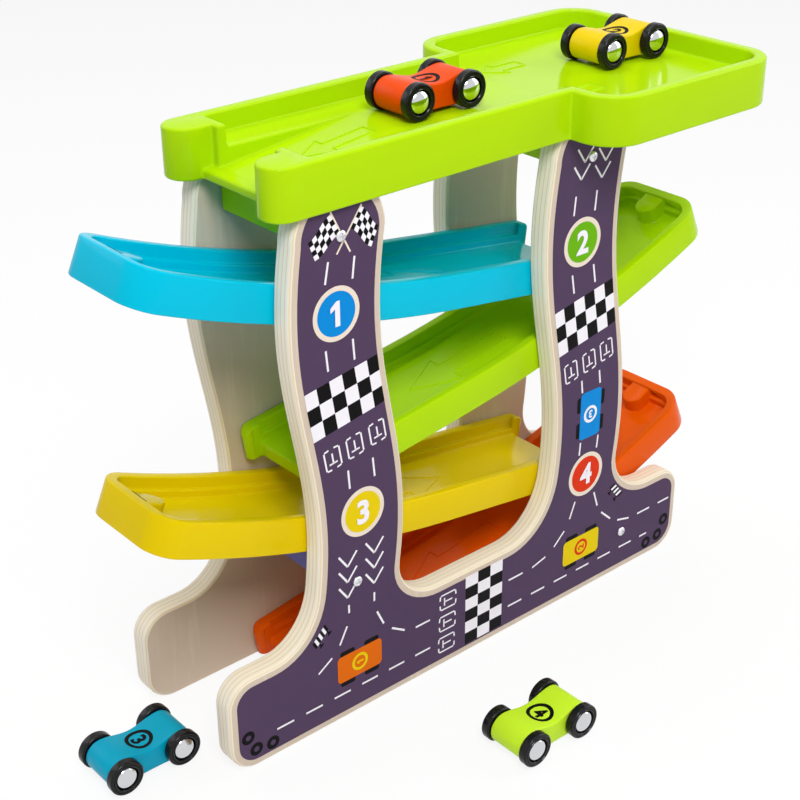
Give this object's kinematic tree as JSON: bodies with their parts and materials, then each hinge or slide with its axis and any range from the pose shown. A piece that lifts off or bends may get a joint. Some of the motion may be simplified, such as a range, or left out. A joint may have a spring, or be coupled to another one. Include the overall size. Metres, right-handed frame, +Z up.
{
  "type": "toy car slide track",
  "caption": "Wooden ramp racer: two plywood side panels hold a launch tray over zig-zag plastic tracks that small cars roll down, with axles that turn as the cars move.",
  "frame": {"origin": "middle of the footprint of stand and cars, on the floor", "axes": "+X along the panels towards the wide end of the tray, +Y from the printed front panel to the back panel, +Z up"},
  "size_m": [0.3926, 0.204, 0.3018],
  "materials": {
    "plywood": "satin birch plywood with a printed road",
    "lime_plastic": "moulded gloss",
    "blue_plastic": "moulded gloss",
    "yellow_plastic": "moulded gloss",
    "orange_plastic": "moulded gloss",
    "violet_wood": "satin paint on wood",
    "screw_steel": "zinc plated",
    "orange_wood": "gloss paint on wood",
    "yellow_wood": "gloss paint on wood",
    "blue_wood": "gloss paint on wood",
    "lime_wood": "gloss paint on wood",
    "wheel_plastic": "polished black",
    "hub_chrome": "mirror polish"
  },
  "bodies": {
    "stand": {"front_panel": "plywood", "back_panel": "plywood", "launch_tray": "lime_plastic", "track_1_blue": "blue_plastic", "track_2_lime": "lime_plastic", "track_3_yellow": "yellow_plastic", "track_4_orange": "orange_plastic", "brace_left": "violet_wood", "brace_right": "violet_wood", "screw_front_tray_left": "screw_steel", "screw_front_tray_right": "screw_steel", "screw_front_brace_left": "screw_steel", "screw_front_brace_right": "screw_steel", "screw_back_tray_left": "screw_steel", "screw_back_tray_right": "screw_steel", "screw_back_brace_left": "screw_steel", "screw_back_brace_right": "screw_steel"},
    "car_1": {"car_1_body": "orange_wood"},
    "car_1_front_axle_set": {"car_1_axle_front": "hub_chrome", "car_1_hub_cap_front": "hub_chrome", "car_1_wheel_front_near": "wheel_plastic", "car_1_wheel_front_far": "wheel_plastic"},
    "car_1_rear_axle_set": {"car_1_axle_rear": "hub_chrome", "car_1_hub_cap_rear": "hub_chrome", "car_1_wheel_rear_near": "wheel_plastic", "car_1_wheel_rear_far": "wheel_plastic"},
    "car_2": {"car_2_body": "yellow_wood"},
    "car_2_front_axle_set": {"car_2_axle_front": "hub_chrome", "car_2_hub_cap_front": "hub_chrome", "car_2_wheel_front_near": "wheel_plastic", "car_2_wheel_front_far": "wheel_plastic"},
    "car_2_rear_axle_set": {"car_2_axle_rear": "hub_chrome", "car_2_hub_cap_rear": "hub_chrome", "car_2_wheel_rear_near": "wheel_plastic", "car_2_wheel_rear_far": "wheel_plastic"},
    "car_3": {"car_3_body": "blue_wood"},
    "car_3_front_axle_set": {"car_3_axle_front": "hub_chrome", "car_3_hub_cap_front": "hub_chrome", "car_3_wheel_front_near": "wheel_plastic", "car_3_wheel_front_far": "wheel_plastic"},
    "car_3_rear_axle_set": {"car_3_axle_rear": "hub_chrome", "car_3_hub_cap_rear": "hub_chrome", "car_3_wheel_rear_near": "wheel_plastic", "car_3_wheel_rear_far": "wheel_plastic"},
    "car_4": {"car_4_body": "lime_wood"},
    "car_4_front_axle_set": {"car_4_axle_front": "hub_chrome", "car_4_hub_cap_front": "hub_chrome", "car_4_wheel_front_near": "wheel_plastic", "car_4_wheel_front_far": "wheel_plastic"},
    "car_4_rear_axle_set": {"car_4_axle_rear": "hub_chrome", "car_4_hub_cap_rear": "hub_chrome", "car_4_wheel_rear_near": "wheel_plastic", "car_4_wheel_rear_far": "wheel_plastic"}
  },
  "joints": [
    {"name": "car_1_roll", "type": "slide", "parent": "stand", "child": "car_1", "axis": [1, 0, 0], "range_m": [-0.012, 0.06]},
    {"name": "car_1_front_axle_spin", "type": "hinge", "parent": "car_1", "child": "car_1_front_axle_set", "pos_m": [0.0019, 0.03388, 0.2928], "axis": [0, 1, 0], "continuous": true},
    {"name": "car_1_rear_axle_spin", "type": "hinge", "parent": "car_1", "child": "car_1_rear_axle_set", "pos_m": [0.0339, 0.03388, 0.2928], "axis": [0, 1, 0], "continuous": true},
    {"name": "car_2_roll", "type": "slide", "parent": "stand", "child": "car_2", "axis": [1, 0, 0], "range_m": [-0.015, 0.008]},
    {"name": "car_2_front_axle_spin", "type": "hinge", "parent": "car_2", "child": "car_2_front_axle_set", "pos_m": [0.1323, 0.03388, 0.2928], "axis": [0, 1, 0], "continuous": true},
    {"name": "car_2_rear_axle_spin", "type": "hinge", "parent": "car_2", "child": "car_2_rear_axle_set", "pos_m": [0.1643, 0.03388, 0.2928], "axis": [0, 1, 0], "continuous": true},
    {"name": "car_3_roll", "type": "slide", "parent": "stand", "child": "car_3", "axis": [1, 0, 0], "range_m": [-0.1, 0.05]},
    {"name": "car_3_front_axle_spin", "type": "hinge", "parent": "car_3", "child": "car_3_front_axle_set", "pos_m": [-0.1873, 0.02658, 0.009], "axis": [0, 1, 0], "continuous": true},
    {"name": "car_3_rear_axle_spin", "type": "hinge", "parent": "car_3", "child": "car_3_rear_axle_set", "pos_m": [-0.1553, 0.02658, 0.009], "axis": [0, 1, 0], "continuous": true},
    {"name": "car_4_roll", "type": "slide", "parent": "stand", "child": "car_4", "axis": [1, 0, 0], "range_m": [-0.08, 0.08]},
    {"name": "car_4_front_axle_spin", "type": "hinge", "parent": "car_4", "child": "car_4_front_axle_set", "pos_m": [-0.0293, -0.08553, 0.009], "axis": [0, 1, 0], "continuous": true},
    {"name": "car_4_rear_axle_spin", "type": "hinge", "parent": "car_4", "child": "car_4_rear_axle_set", "pos_m": [0.0027, -0.08553, 0.009], "axis": [0, 1, 0], "continuous": true}
  ],
  "couplings": [
    {"joint": "car_1_front_axle_spin", "follows": "car_1_roll", "rad_per_m": 111.11},
    {"joint": "car_1_rear_axle_spin", "follows": "car_1_roll", "rad_per_m": 111.11},
    {"joint": "car_2_front_axle_spin", "follows": "car_2_roll", "rad_per_m": 111.11},
    {"joint": "car_2_rear_axle_spin", "follows": "car_2_roll", "rad_per_m": 111.11},
    {"joint": "car_3_front_axle_spin", "follows": "car_3_roll", "rad_per_m": 111.11},
    {"joint": "car_3_rear_axle_spin", "follows": "car_3_roll", "rad_per_m": 111.11},
    {"joint": "car_4_front_axle_spin", "follows": "car_4_roll", "rad_per_m": 111.11},
    {"joint": "car_4_rear_axle_spin", "follows": "car_4_roll", "rad_per_m": 111.11}
  ]
}
